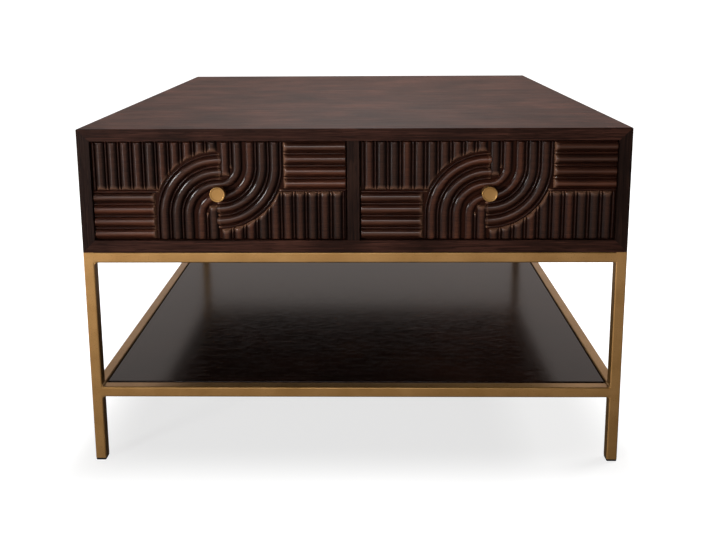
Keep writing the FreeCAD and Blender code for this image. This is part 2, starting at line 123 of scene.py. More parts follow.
def makePiece(name, shape, look, body, replaced=()):
    shape.transform(Matrix.Scale(mm, 4))
    bmesh.ops.recalc_face_normals(shape, faces=shape.faces)
    mesh = bpy.data.meshes.new(name)
    shape.to_mesh(mesh)
    shape.free()
    mesh.polygons.foreach_set("use_smooth", [True] * len(mesh.polygons))
    mesh.set_sharp_from_angle(angle=math.radians(easing["smoothUpTo"]))
    piece = bpy.data.objects.new(name, mesh)
    scene.collection.objects.link(piece)
    normals = piece.modifiers.new("even normals", "WEIGHTED_NORMAL")
    normals.keep_sharp = True
    material, slot = look
    mesh.materials.append(material)
    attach(piece, body)
    if replaced:
        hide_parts(*replaced)


def makeBoard(node, arris, look, body):  # a plain board with its edges eased
    makePiece(node + "_board", ease(block(*boxOf(node)), arris), look, body, [node])


# materials

noiseLow, noiseHigh = 0.3, 0.7  # noise seldom leaves this range
waveRepeat = math.tau / 20  # a wave texture of scale 1 repeats after this length


def linear(colour):  # an sRGB hex colour as the linear values that a shader reads
    channels = [int(colour[i:i + 2], 16) / 255 for i in (1, 3, 5)]
    return [c / 12.92 if c <= 0.04045 else ((c + 0.055) / 1.055) ** 2.4 for c in channels] + [1]


def setInputs(tree, node, inputs):  # values or sockets, or nodes, which stand for their first output
    for name, value in inputs.items():
        if isinstance(value, bpy.types.Node):
            value = next(output for output in value.outputs if output.enabled)
        if isinstance(value, bpy.types.NodeSocket):
            tree.links.new(value, node.inputs[name])
        else:
            node.inputs[name].default_value = value


def addNode(tree, kind, inputs={}, **settings):
    node = tree.nodes.new(kind)
    for name, setting in settings.items():
        if name == "stops":  # a colour ramp's stops: position and hex colour
            ramp = node.color_ramp
            while len(ramp.elements) < len(setting):
                ramp.elements.new(1)
            for element, (position, colour) in zip(ramp.elements, setting):
                element.position = position
                element.color = linear(colour)
        else:
            setattr(node, name, setting)
    setInputs(tree, node, inputs)
    return node


def newMaterial(name):
    material = bpy.data.materials.new(name)
    material.use_nodes = True
    tree = material.node_tree
    return material, tree, tree.nodes["Principled BSDF"]


# mango wood: straight to wavy grain with short open pores. The walnut stain takes unevenly, and
# the sprayed satin lacquer over it gives a soft sheen
mangoWood = {
    "deep": "#190d09",
    "middle": "#341e17",
    "pale": "#54342a",
    "deepAt": 0.36,
    "middleAt": 0.62,
    "paleAt": 0.9,
    "ringShare": 0.13,  # what the rings, the fibres and the patches of stain each add to the tone
    "fibreShare": 0.6,
    "patchShare": 0.54,
    "patch": 85,
    "ringSpacing": 9,
    "ringDistortion": 1.5,
    "waveLength": 420,  # a slow wave along the board bends its rings by up to waveBend
    "waveWidth": 70,
    "waveBend": 55,
    "fibreLength": 70,
    "fibreWidth": 1.6,  # real fibres are finer: drawn as coarse as they need to show
    "poreLength": 16,
    "poreWidth": 1.1,
    "poreFrom": 0.6,
    "poreTo": 0.7,
    "poreDark": 0.55,
    "stave": 94,  # boards are glued up from staves of about this width
    "staveShift": (900, 300, 60),  # how far apart in the log two staves are cut
    "lacquerIor": 1.5,
    "roughness": 0.48,
    "roughnessSwing": 0.12,
    "specular": 0.062,
    "coat": 0,
    "coatRoughness": 0.3,
    "bumpDepth": 0.12,
    "bumpStrength": 0.6,
}
grainTurns = {"x": (0, 0, 0), "y": (0, 0, -math.pi / 2), "z": (0, math.pi / 2, 0)}


def woodPattern(tree, wood, grain):
    # coordinates in millimetres, turned so that the grain runs along X, each stave from its own place
    place = addNode(tree, "ShaderNodeTexCoord").outputs["Object"]
    turned = addNode(
        tree, "ShaderNodeMapping",
        {"Vector": place, "Rotation": grainTurns[grain], "Scale": (1 / mm, 1 / mm, 1 / mm)},
    )
    across = addNode(tree, "ShaderNodeSeparateXYZ", {"Vector": turned}).outputs["Y"]
    count = addNode(tree, "ShaderNodeMath", {0: across, 1: wood["stave"]}, operation="DIVIDE")
    stave = addNode(tree, "ShaderNodeMath", {0: count}, operation="FLOOR")
    staveChance = addNode(tree, "ShaderNodeTexWhiteNoise", {"W": stave}, noise_dimensions="1D")
    shifted = addNode(
        tree, "ShaderNodeVectorMath", {0: staveChance.outputs["Color"], 1: wood["staveShift"], 2: turned},
        operation="MULTIPLY_ADD",
    )
    noises = {}
    for kind, detail in (("wave", 3), ("fibre", 2), ("pore", 0)):  # all drawn out along the grain
        length, width = wood[kind + "Length"], wood[kind + "Width"]
        drawnOut = addNode(
            tree, "ShaderNodeMapping", {"Vector": shifted, "Scale": (1 / length, 1 / width, 1 / width)}
        )
        noises[kind] = addNode(
            tree, "ShaderNodeTexNoise", {"Vector": drawnOut, "Scale": 1, "Detail": detail}
        )
    bend = (0, wood["waveBend"], wood["waveBend"])
    bent = addNode(
        tree, "ShaderNodeVectorMath", {0: noises["wave"].outputs["Color"], 1: bend, 2: shifted},
        operation="MULTIPLY_ADD",
    )
    rings = addNode(
        tree, "ShaderNodeTexWave",
        {"Vector": bent, "Scale": waveRepeat / wood["ringSpacing"], "Distortion": wood["ringDistortion"],
         "Detail": 2, "Detail Scale": 0.6},
        wave_type="RINGS", rings_direction="X", wave_profile="SAW",
    ).outputs["Fac"]
    pores = addNode(
        tree, "ShaderNodeMapRange",
        {"Value": noises["pore"], "From Min": wood["poreFrom"], "From Max": wood["poreTo"]},
    )
    patches = addNode(
        tree, "ShaderNodeTexNoise", {"Vector": shifted, "Scale": 1 / wood["patch"], "Detail": 2}
    )
    tone = 0
    for kind, pattern in (("ring", rings), ("fibre", noises["fibre"]), ("patch", patches)):
        share = wood[kind + "Share"]
        tone = addNode(tree, "ShaderNodeMath", {0: pattern, 1: share, 2: tone}, operation="MULTIPLY_ADD")
    return place, tone, noises["fibre"], pores


def woodNodes(tree, shader, wood, grain):
    place, tone, fibres, pores = woodPattern(tree, wood, grain)
    stops = [(wood[stop + "At"], wood[stop]) for stop in ("deep", "middle", "pale")]
    stained = addNode(tree, "ShaderNodeValToRGB", {"Fac": tone}, stops=stops)
    poreShade = addNode(tree, "ShaderNodeMath", {0: pores, 1: wood["poreDark"]}, operation="MULTIPLY")
    colour = addNode(
        tree, "ShaderNodeMix", {0: poreShade, 6: stained, 7: linear(wood["deep"])}, data_type="RGBA"
    )
    swing = wood["roughnessSwing"] / 2
    rough = addNode(
        tree, "ShaderNodeMapRange",
        {"Value": fibres, "From Min": noiseLow, "From Max": noiseHigh,
         "To Min": wood["roughness"] - swing, "To Max": wood["roughness"] + swing},
    )
    relief = addNode(tree, "ShaderNodeMath", {0: fibres, 1: pores}, operation="SUBTRACT")
    bump = addNode(
        tree, "ShaderNodeBump",
        {"Height": relief, "Distance": wood["bumpDepth"] * mm, "Strength": wood["bumpStrength"]},
    )
    setInputs(tree, shader, {
        "Roughness": rough,
        "Normal": bump,
        "IOR": wood["lacquerIor"],
        "Specular IOR Level": wood["specular"],
        "Coat Weight": wood["coat"],
        "Coat Roughness": wood["coatRoughness"],
    })
    return place, colour, tone


def stainedWood(name, wood, grain):
    material, tree, shader = newMaterial(name)
    colour = woodNodes(tree, shader, wood, grain)[1]
    setInputs(tree, shader, {"Base Color": colour})
    return material


standingWood = {**mangoWood, "deep": "#130a09", "middle": "#241611", "pale": "#3a261e"}  # took more stain
caseLooks = {}
for grain, wood in (("x", mangoWood), ("z", standingWood)):
    material = stainedWood("mango wood, walnut stain, satin lacquer, grain " + grain, wood, grain)
    caseLooks[grain] = (material, "stained_hardwood")

# the carving is stained before it is rubbed: stain stays in the grooves and thins on the crests. The grooves'
# dark colour is partly painted shade, and the crests' pale colour partly a painted highlight. Reeds across the
# grain drink more stain, and each piece of cut wood takes it a little differently
carvedWood = {
    **mangoWood,
    "deep": "#180b08",
    "middle": "#321a12",
    "pale": "#4d2e22",
    "stave": 400,
    "patch": 60,
    # in the grooves: stain that stays there, and painted shade
    "groove": "#2e150b",
    "grooveShadeUpTo": 0.85,  # heights on a reed, from 0 at the ground to 1 at the crest
    "crestFrom": 0.8,
    # on the crests: stain rubbed thin, and a painted highlight
    "rubbedAndHighlight": "#724733",
    "rubbedAndHighlightShare": 0.6,
    # at the chisel cuts: worn stain, and a painted highlight on their arrises
    "wornAndHighlight": "#8c6650",  # the arrises of the chisel cuts
    "wornAndHighlightShare": 0.62,
    "toneSwing": 0.7,
    "crossDarker": 0.28,
    "crossDuller": 0.68,
    "flankDarker": 0.35,
    "cool": "#f4fbff",  # reeds that took less stain are redder as well
    "warm": "#fff0e4",
    "roughness": 0.42,
    "specular": 0.055,
    "coat": 0.6,
    "coatRoughness": 0.12,
}


def carvedMaterial(name, wood, crestY, groundY):
    material, tree, shader = newMaterial(name)
    place, colour, tone = woodNodes(tree, shader, wood, "x")
    depth = addNode(tree, "ShaderNodeSeparateXYZ", {"Vector": place}).outputs["Y"]
    height = addNode(
        tree, "ShaderNodeMapRange", {"Value": depth, "From Min": groundY * mm, "From Max": crestY * mm}
    )
    reed = addNode(tree, "ShaderNodeAttribute", attribute_name="reed").outputs["Color"]
    marks = addNode(tree, "ShaderNodeSeparateColor", {"Color": reed}).outputs
    ownTone, wear, crossGrain = (marks[channel] for channel in ("Red", "Green", "Blue"))

    # how much light each reed gives back: its own tone, less across the grain, least on the end grain
    normal = addNode(tree, "ShaderNodeTexCoord").outputs["Normal"]
    sideways = addNode(tree, "ShaderNodeSeparateXYZ", {"Vector": normal}).outputs["X"]
    flank = addNode(tree, "ShaderNodeMath", {0: sideways}, operation="ABSOLUTE")
    endGrain = addNode(tree, "ShaderNodeMath", {0: flank, 1: crossGrain}, operation="MULTIPLY")
    gain = 1
    for mark, change, start in (
        (ownTone, wood["toneSwing"], 1 - wood["toneSwing"] / 2),
        (crossGrain, -wood["crossDarker"], 1),
        (endGrain, -wood["flankDarker"], 1),
    ):
        share = addNode(tree, "ShaderNodeMath", {0: mark, 1: change, 2: start}, operation="MULTIPLY_ADD")
        gain = addNode(tree, "ShaderNodeMath", {0: gain, 1: share}, operation="MULTIPLY")

    # low on a reed the groove colour: stain that stays there, and painted shade
    lift = addNode(
        tree, "ShaderNodeMapRange", {"Value": height, "From Max": wood["grooveShadeUpTo"]},
        interpolation_type="SMOOTHSTEP",
    )
    # high on a reed the paler crest colour: stain rubbed thin, and a painted highlight
    crest = addNode(
        tree, "ShaderNodeMapRange",
        {"Value": height, "From Min": wood["crestFrom"], "To Max": wood["rubbedAndHighlightShare"]},
    )
    stained = addNode(
        tree, "ShaderNodeMix", {0: lift, 6: linear(wood["groove"]), 7: colour}, data_type="RGBA"
    )
    rubAndHighlightMask = addNode(tree, "ShaderNodeMath", {0: crest, 1: tone}, operation="MULTIPLY")
    rubbedAndHighlight = addNode(
        tree, "ShaderNodeMix", {0: rubAndHighlightMask, 6: stained, 7: linear(wood["rubbedAndHighlight"])}, data_type="RGBA"
    )
    tint = addNode(
        tree, "ShaderNodeMix", {0: ownTone, 6: linear(wood["cool"]), 7: linear(wood["warm"])},
        data_type="RGBA",
    )
    tinted = addNode(tree, "ShaderNodeVectorMath", {0: rubbedAndHighlight, 1: tint}, operation="MULTIPLY")
    shaded = addNode(tree, "ShaderNodeVectorMath", {0: tinted, "Scale": gain}, operation="SCALE")
    # at the chisel cuts a paler colour: worn stain, and a painted highlight
    wearAndHighlightAmount = addNode(tree, "ShaderNodeMath", {0: wear, 1: wood["wornAndHighlightShare"]}, operation="MULTIPLY")
    wornAndHighlight = addNode(tree, "ShaderNodeMix", {0: wearAndHighlightAmount, 6: shaded, 7: linear(wood["wornAndHighlight"])}, data_type="RGBA")

    # the sprayed lacquer builds up on the reeds and stays thin in the grooves
    shine = addNode(
        tree, "ShaderNodeMath", {0: crossGrain, 1: -wood["crossDuller"], 2: 1}, operation="MULTIPLY_ADD"
    )
    sheen = addNode(tree, "ShaderNodeMath", {0: lift, 1: shine}, operation="MULTIPLY")
    coat = addNode(tree, "ShaderNodeMath", {0: sheen, 1: wood["coat"]}, operation="MULTIPLY")
    setInputs(tree, shader, {"Base Color": wornAndHighlight, "Coat Weight": coat})
    return material


# the shelf: MDF veneered in mango wood, near-black brown stain, sprayed gloss lacquer that
# shows a slight orange peel in its reflections
shelfWood = {
    **mangoWood,
    "deep": "#110806",
    "middle": "#20120d",
    "pale": "#341f17",
    "stave": 1000,
    "roughness": 0.16,
    "roughnessSwing": 0.06,
    "specular": 0.56,
    "bumpDepth": 0.04,
}
shelfLook = (stainedWood("mango veneer, near-black stain, gloss lacquer", shelfWood, "x"), "lacquered_shelf")

# drawer boxes: plain hardwood with one sealing coat, paler and more matt than the case
drawerWood = {
    **mangoWood,
    "deep": "#5a3d27",
    "middle": "#7d5a3c",
    "pale": "#9c7650",
    "poreDark": 0.35,
    "stave": 200,
    "roughness": 0.6,
    "coat": 0.1,
    "coatRoughness": 0.4,
}
drawerLooks = {
    axis: (stainedWood("hardwood, sealed, grain " + axis, drawerWood, axis), "drawer_wood") for axis in "xy"
}

# birch plywood: pale, its peeled face shows wide rings and no staves
plywood = {
    **drawerWood,
    "deep": "#7d5f3f",
    "middle": "#a58359",
    "pale": "#bf9d70",
    "stave": 2000,
    "ringSpacing": 22,
}
plywoodLook = (stainedWood("birch plywood, sealed", plywood, "y"), "drawer_plywood")

# powder coat over steel: a fine even texture, and its metal flake gives a soft glow
powderCoat = {
    "shade": "#b78a4a",
    "light": "#c79959",
    "shadeAt": 0.35,
    "lightAt": 0.65,
    "patch": 45,
    "grit": 1.1,  # real texture is finer: drawn as coarse as it needs to show
    "metallic": 0.7,
    "roughness": 0.32,
    "roughnessSwing": 0.1,
    "coat": 0.6,
    "coatRoughness": 0.25,
    "bumpDepth": 0.03,
    "bumpStrength": 0.5,
}


def evenMaterial(name, finish):  # metal, powder coat or plastic: faint patches and a fine grit
    material, tree, shader = newMaterial(name)
    place = addNode(tree, "ShaderNodeTexCoord").outputs["Object"]
    patches, grit = (
        addNode(
            tree, "ShaderNodeTexNoise",
            {"Vector": place, "Scale": 1 / (finish[size] * mm), "Detail": detail},
        )
        for size, detail in (("patch", 3), ("grit", 1))
    )
    stops = [(finish[stop + "At"], finish[stop]) for stop in ("shade", "light")]
    swing = finish["roughnessSwing"] / 2
    setInputs(tree, shader, {
        "Base Color": addNode(tree, "ShaderNodeValToRGB", {"Fac": patches}, stops=stops),
        "Roughness": addNode(
            tree, "ShaderNodeMapRange",
            {"Value": grit, "From Min": noiseLow, "From Max": noiseHigh,
             "To Min": finish["roughness"] - swing, "To Max": finish["roughness"] + swing},
        ),
        "Normal": addNode(
            tree, "ShaderNodeBump",
            {"Height": grit, "Distance": finish["bumpDepth"] * mm, "Strength": finish["bumpStrength"]},
        ),
        "Metallic": finish["metallic"],
        "Coat Weight": finish["coat"],
        "Coat Roughness": finish["coatRoughness"],
    })
    return material


frameLook = (evenMaterial("steel tube, antique gold powder coat", powderCoat), "gold_frame")

# satin brass: turned, then brushed, paler than the frame
satinBrass = {
    **powderCoat,
    "shade": "#a57c45",
    "light": "#b88e56",
    "patch": 30,
    "grit": 0.4,
    "metallic": 0.8,
    "roughness": 0.36,
    "coat": 0,
}
knobLook = (evenMaterial("brass, turned, satin", satinBrass), "knob_brass")

# zinc plated steel: a bare, bluish grey metal with a fine spangle
zincPlate = {
    **powderCoat,
    "shade": "#a9abad",
    "light": "#c4c6c7",
    "patch": 3,
    "grit": 0.3,
    "metallic": 1,
    "roughness": 0.35,
    "coat": 0,
}
screwLook = (evenMaterial("steel, zinc plated", zincPlate), "zinc_screw")

# moulded polyethylene: matt black with a faint grain
footPlastic = {
    **powderCoat,
    "shade": "#0c0b0a",
    "light": "#191715",
    "patch": 6,
    "grit": 0.5,
    "metallic": 0,
    "roughness": 0.55,
    "coat": 0,
}
footLook = (evenMaterial("polyethylene, moulded, black", footPlastic), "foot_plastic")
print("materials made")


# the case: boards mitred at the corners, arrises eased

case = {"cornerRadius": 1.5, "cornerSteps": 3, "frontArris": 0.9, "innerArris": 0.6}
topLow, topHigh = boxOf("top_panel")
bottomLow = boxOf("bottom_panel")[0]


def mitredBoard(node, look, turn):
    # drawn as the top board, then turned about the case's middle line
    halfWidth = topHigh.x
    halfHeight = (topHigh.z - bottomLow.z) / 2
    board = topHigh.z - topLow.z
    longHalf, reach = (halfWidth, halfHeight) if turn % 180 == 0 else (halfHeight, halfWidth)
    radius = case["cornerRadius"]
    right = arc((longHalf - radius, reach - radius), radius, 90, 45, case["cornerSteps"])
    heel = (longHalf - board, reach - board)
    outline = right + [heel, (-heel[0], heel[1])] + [(-a, b) for a, b in reversed(right)]
    shape = prism(outline, "y", topLow.y, topHigh.y)

    def alongEnd(edge):  # the front and back edges, without the mitre
        first, second = (corner.co for corner in edge.verts)
        return abs(first.y - second.y) < near and abs(first.z - second.z) < near

    ease(shape, case["frontArris"], alongEnd)
    shape.transform(Matrix.Rotation(math.radians(turn), 4, "Y"))
    shape.transform(Matrix.Translation((0, 0, (topHigh.z + bottomLow.z) / 2)))
    makePiece(node + "_board", shape, look, "table", [node])


for node, grain, turn in (
    ("top_panel", "x", 0), ("right_side", "z", 90), ("bottom_panel", "x", 180), ("left_side", "z", 270)
):
    mitredBoard(node, caseLooks[grain], turn)
makeBoard("centre_partition", case["innerArris"], caseLooks["z"], "table")
makeBoard("back_panel", case["innerArris"], caseLooks["x"], "table")
print("case made")


# carved drawer fronts: reeds swept along a layout drawn on the reed pitch, with thin fins between them.
# Both halves of a front are the same, the second one turned half round

carving = {
    "pitch": 17,
    "reedHalfWidth": 6.3,
    "reedHeight": 3.8,
    "finHalfWidth": 1.6,
    "finHeight": 2.7,
    "finTone": 0.7,
    # the wear mark also carries the painted highlight at the chisel cuts
    "groundMarks": (0.5, 0, 0, 1),  # tone, wear and how far across the grain, as a colour
    "root": 0.6,  # how deep reeds and fins go into the board
    "crossing": (2.5, 1.5),  # radii of the strand that crosses the middle in one S, in pitches
    "stopped": (3.5, 4.5),  # radii of the strands that stop against the other half, in pitches
    "turningFins": (3, 4, 5),  # radii of the fins beside them, in pitches
    "rimRadius": 5,  # in pitches
    "turnDrop": 2,  # in pitches: the turns' centre lies this far below the middle
    "uprightReeds": 10,
    "levelReeds": 4,
    "rimGap": 4,  # from the rim to the reeds that it cuts short
    "seamGap": 2.2,  # from the seam between two fields of reeds to their ends
    "seamShift": 1,  # how far this seam lies below the middle
    "innerTip": 21.5,  # where the innermost upright reed ends, below the middle
    "strandTip": 2.5,  # how far the stopped strands reach past the middle
    "cutLength": 2.6,  # how far the chisel cut at a reed's end leans
    "edgeCut": 1.3,  # the same at the board's edges
    "cutEase": 1.4,
    "cutRound": 0.6,  # how far the eased arris reaches out, as a share of how far it goes in
    # the worn colour, and the painted highlight with it, reaches this far from a cut's arris
    "wearReach": 4,  # how far from the arris the stain is worn
    "arcSteps": 30,
    "sectionSteps": 14,
    "arris": 0.7,
}
pitch = carving["pitch"]


def sweep(shape, path, halfWidth, height, ends, tone):
    # a half-round section along a path on the face, x to the right and z up, from the ground at y = 0.
    # Each end is a leaning chisel cut of its own length, which may follow a slanted line. Near a cut the wear
    # mark
    # rises: worn stain, and a painted highlight on its arris
    points = [Vector(point) for point in path]
    soft = carving["cutEase"]
    stations = []  # place, heading, lean of the cut, inset of the section, slant and wear
    for i, point in enumerate(points):
        heading = points[min(i + 1, len(points) - 1)] - points[max(i - 1, 0)]
        stations.append((point, heading.normalized(), 0, 0, None, 0))
    for atEnd, (length, slant, wornAndHighlight) in enumerate(ends):
        point, heading = stations[-1 if atEnd else 0][:2]
        outward = heading if atEnd else -heading
        lean = outward * length
        added = [
            (point - outward * carving["wearReach"], heading, lean, 0, slant, 0),
            (point, heading, lean, 0, slant, wornAndHighlight / 2),
        ]
        for turn in (math.pi / 4, math.pi / 2):  # the arris of the cut is rubbed round
            spot = point + outward * soft * carving["cutRound"] * math.sin(turn)
            added.append((spot, heading, lean, soft * (1 - math.cos(turn)), slant, wornAndHighlight))
        if atEnd:
            stations[-1:] = added
        else:
            stations[:1] = reversed(added)
    count = carving["sectionSteps"]
    section = [(math.cos(math.pi * i / count), math.sin(math.pi * i / count)) for i in range(count + 1)]
    marks = shape.verts.layers.float_color["reed"]
    rings = []
    for point, heading, lean, inset, slant, wear in stations:
        side = Vector((heading.y, -heading.x))
        ring = []
        for across, up in section + [(-1, None), (1, None)]:  # the last two are the root in the board
            rise = 0 if up is None else up * (height - inset) / height
            spot = point + side * across * (halfWidth - inset)
            if lean:
                spot += lean * (1 - rise)
            if slant:
                spot += slant(spot)
            corner = shape.verts.new((spot.x, carving["root"] if up is None else -rise * height, spot.y))
            corner[marks] = (tone, wear, abs(heading.y) * (1 - wear), 1)
            ring.append(corner)
        rings.append(ring)
    for first, second in zip(rings, rings[1:]):
        for i in range(len(first)):
            j = (i + 1) % len(first)
            shape.faces.new((first[i], first[j], second[j], second[i]))
    shape.faces.new(rings[0])
    shape.faces.new(list(reversed(rings[-1])))


def carvedLayout(halfWidth, halfHeight):
    # reeds and fins of one half: a path each, and for its two ends the cut's length, slant and wear, which also
    # carries a painted highlight
    reeds, fins = [], []
    drop = -carving["turnDrop"] * pitch
    tip, edge, seam = carving["cutLength"], carving["edgeCut"], carving["seamGap"]
    top, side = halfHeight - edge, halfWidth - edge
    atEdge, plain = (edge, None, 0), (tip, None, 1)

    def rising(radius):  # up from the lower edge, then a quarter turn towards the middle
        return [(-radius, -top)] + arc((0, drop), radius, 180, 90, carving["arcSteps"])

    left, right = (share * pitch for share in carving["crossing"])
    onward = arc((0, -drop), right, -90, 0, carving["arcSteps"])[1:] + [(right, top)]
    reeds.append((rising(left) + onward, (atEdge, atEdge)))
    for share in carving["stopped"]:
        radius = share * pitch
        reeds.append((rising(radius) + [(carving["strandTip"] - tip, drop + radius)], (atEdge, plain)))
    reeds.append(([(-pitch / 2, -top), (-pitch / 2, -carving["innerTip"] - tip)], (atEdge, plain)))
    for share in carving["turningFins"]:
        fins.append((rising(share * pitch), (atEdge, plain)))
    fins.append(([(-pitch, -top), (-pitch, drop)], (atEdge, plain)))

    # upright reeds over the outer top corner: the rim cuts them short along its curve
    rim = carving["rimRadius"] * pitch
    cut = rim + carving["rimGap"]

    def startOver(x):  # where an upright begins: above the rim, or above the seam outside it
        return max(drop + math.sqrt(max(cut ** 2 - x ** 2, 0)), seam)

    for number in range(carving["uprightReeds"]):
        for share, kind in ((0.5, reeds), (0, fins)):
            x = -(number + share) * pitch
            low = startOver(x)
            slant = None
            if low > seam:
                slant = lambda spot, low=low: Vector((0, startOver(spot.x) - low))
            if number or share:
                kind.append(([(x, low + tip), (x, top)], ((tip, slant, 1), atEdge)))
    outermost = -carving["uprightReeds"] * pitch
    fins.append(([(outermost, seam), (outermost, top)], (atEdge, atEdge)))

    # level reeds in the outer lower corner, the fin over them reaches the rim
    shift = carving["seamShift"]
    fins.append(([(-side, -shift), (-rim, -shift)], (atEdge, plain)))
    for number in range(carving["levelReeds"]):
        for share, kind in ((0.5, reeds), (0, fins)):
            z = -(number + share) * pitch - shift
            if number or share:
                kind.append(([(-side, z), (-cut - tip, z)], (atEdge, plain)))
    return reeds, fins


def carvedFront(node, body):
    low, high = boxOf(node)
    groundY = low.y + carving["reedHeight"]
    halfWidth, halfHeight = (high.x - low.x) / 2, (high.z - low.z) / 2
    board = block((-halfWidth, 0, -halfHeight), (halfWidth, high.y - groundY, halfHeight))
    shape = ease(board, carving["arris"])
    marks = shape.verts.layers.float_color.new("reed")
    for corner in shape.verts:
        corner[marks] = carving["groundMarks"]
    reeds, fins = carvedLayout(halfWidth, halfHeight)
    for turn in (0, math.pi):
        relief = bmesh.new()
        relief.verts.layers.float_color.new("reed")
        for path, ends in reeds:
            sweep(relief, path, carving["reedHalfWidth"], carving["reedHeight"], ends, chance.random())
        for path, ends in fins:
            sweep(relief, path, carving["finHalfWidth"], carving["finHeight"], ends, carving["finTone"])
        relief.transform(Matrix.Rotation(turn, 4, "Y"))
        add(relief, shape)
    middle = (low + high) / 2
    shape.transform(Matrix.Translation((middle.x, groundY, middle.z)))
    makePiece(node + "_carved", shape, carvedLook, body, [node])


chance = random.Random(4)
crestY = boxOf("left_drawer_front")[0].y
groundY = crestY + carving["reedHeight"]
carvedLook = (
    carvedMaterial("mango wood, carved, rubbed walnut stain", carvedWood, crestY, groundY),
    "carved_hardwood",
)
for side in ("left", "right"):
    carvedFront(side + "_drawer_front", side + "_drawer")
print("drawer fronts carved")


# drawer boxes: the sides are grooved for the runners

drawerBox = {"slideGap": 0.3, "groove": 7, "arris": 0.8, "bottomArris": 0.3}


def groovedSide(node, runner, outerFirst, body):
    low, high = boxOf(node)
    runnerLow, runnerHigh = boxOf(runner)
    outer, inner = (low.x, high.x) if outerFirst else (high.x, low.x)
    depth = outer + math.copysign(drawerBox["groove"], inner - outer)
    grooveLow, grooveHigh = runnerLow.z - drawerBox["slideGap"], runnerHigh.z + drawerBox["slideGap"]
    outline = [
        (outer, low.z), (outer, grooveLow), (depth, grooveLow), (depth, grooveHigh), (outer, grooveHigh),
        (outer, high.z), (inner, high.z), (inner, low.z),
    ]
    shape = ease(prism(outline, "y", low.y, high.y), drawerBox["arris"])
    makePiece(node + "_board", shape, drawerLooks["y"], body, [node])


for side in ("left", "right"):
    body = side + "_drawer"
    for hand in ("left", "right"):
        runner = f"{side}_{'outer' if side == hand else 'inner'}_runner"
        groovedSide(f"{side}_drawer_{hand}_side", runner, hand == "left", body)
    makeBoard(side + "_drawer_back", drawerBox["arris"], drawerLooks["x"], body)
    makeBoard(side + "_drawer_bottom", drawerBox["bottomArris"], plywoodLook, body)
print("drawer boxes made")


# turned knobs: a neck, a cove and a round head, whose rim slopes down to a shallow dish

knob = {
    "neck": 6,
    "cove": 1.2,
    "head": 10,
    "face": 10.5,
    "edge": 0.8,
    "bevel": 1.6,
    "slope": 0.8,  # width of the slope from the rim into the dish, taken in slopeShares
    "slopeShares": (0.7, 0.35, 0),
    "dish": 0.5,
    "middleShare": 1.1,  # of the dish's depth, half way in and at its centre
    "centreShare": 1.15,
    "centreRadius": 0.2,
    "arcSteps": 4,
    "rimSteps": 5,
    "sides": 64,
}


def knobProfile(top):  # radius and height, from the drawer front outward
    neck, face, edge, cove, dish = (knob[size] for size in ("neck", "face", "edge", "cove", "dish"))
    back = top - knob["head"]
    rim = face - edge - knob["bevel"]
    profile = [(neck, 0)] + arc((neck + cove, back - cove), cove, 180, 90, knob["arcSteps"])
    profile += arc((face - edge, back + edge), edge, -90, 0, knob["arcSteps"])
    profile += arc((face - edge, top - edge), edge, 0, 90, knob["rimSteps"])
    profile += [(rim + share * knob["slope"], top - dish * (1 - share) ** 2) for share in knob["slopeShares"]]
    return profile + [
        (rim / 2, top - dish * knob["middleShare"]),
        (knob["centreRadius"], top - dish * knob["centreShare"]),
    ]


def turnedKnob(node, body):
    low, high = boxOf(node)
    shape = bmesh.new()
    rings = []
    turns = [math.tau * i / knob["sides"] for i in range(knob["sides"])]
    for radius, height in knobProfile(high.y - low.y):
        rings.append([shape.verts.new((radius * math.cos(t), -height, radius * math.sin(t))) for t in turns])
    for first, second in zip(rings, rings[1:]):
        for i in range(len(turns)):
            j = (i + 1) % len(turns)
            shape.faces.new((first[i], first[j], second[j], second[i]))
    shape.faces.new(rings[0])
    shape.faces.new(rings[-1])
    shape.transform(Matrix.Translation(((low.x + high.x) / 2, high.y, (low.z + high.z) / 2)))
    makePiece(node + "_turned", shape, knobLook, body, [node])


for side in ("left", "right"):
    turnedKnob(side + "_knob", side + "_drawer")
print("knobs turned")


# the frame: square tube with welded and dressed corners

tube = {"radius": 1.9, "steps": 5}


def roundedSquare(centre, half):
    points = []
    radius = tube["radius"]
    for first, right, up in ((0, 1, 1), (90, -1, 1), (180, -1, -1), (270, 1, -1)):
        middle = (centre[0] + right * (half - radius), centre[1] + up * (half - radius))
        points += arc(middle, radius, first, first + 90, tube["steps"])
    return points


def squareTube(node):
    low, high = boxOf(node)
    reach = high - low
    along = max(range(3), key=lambda i: reach[i])
    first, second = [i for i in range(3) if i != along]
    centre = ((low[first] + high[first]) / 2, (low[second] + high[second]) / 2)
    outline = roundedSquare(centre, (high[first] - low[first]) / 2)
    shape = prism(outline, "xyz"[along], low[along], high[along])
    makePiece(node + "_tube", shape, frameLook, "table", [node])


corners = [f"{front}_{side}" for front in ("front", "back") for side in ("left", "right")]
for corner in corners:
    squareTube(corner + "_leg")
for ring in ("top", "lower"):
    for side in ("front", "back", "left", "right"):
        squareTube(f"{ring}_{side}_rail")

weld = {
    "fillet": 3.2,
    "steps": 5,
    "root": 1,
    "insetShare": 0.4,  # of the tube's radius
    "seamOver": 0.3,
    "seamBelow": 0.02,
    "seamEnd": 0.7,
}


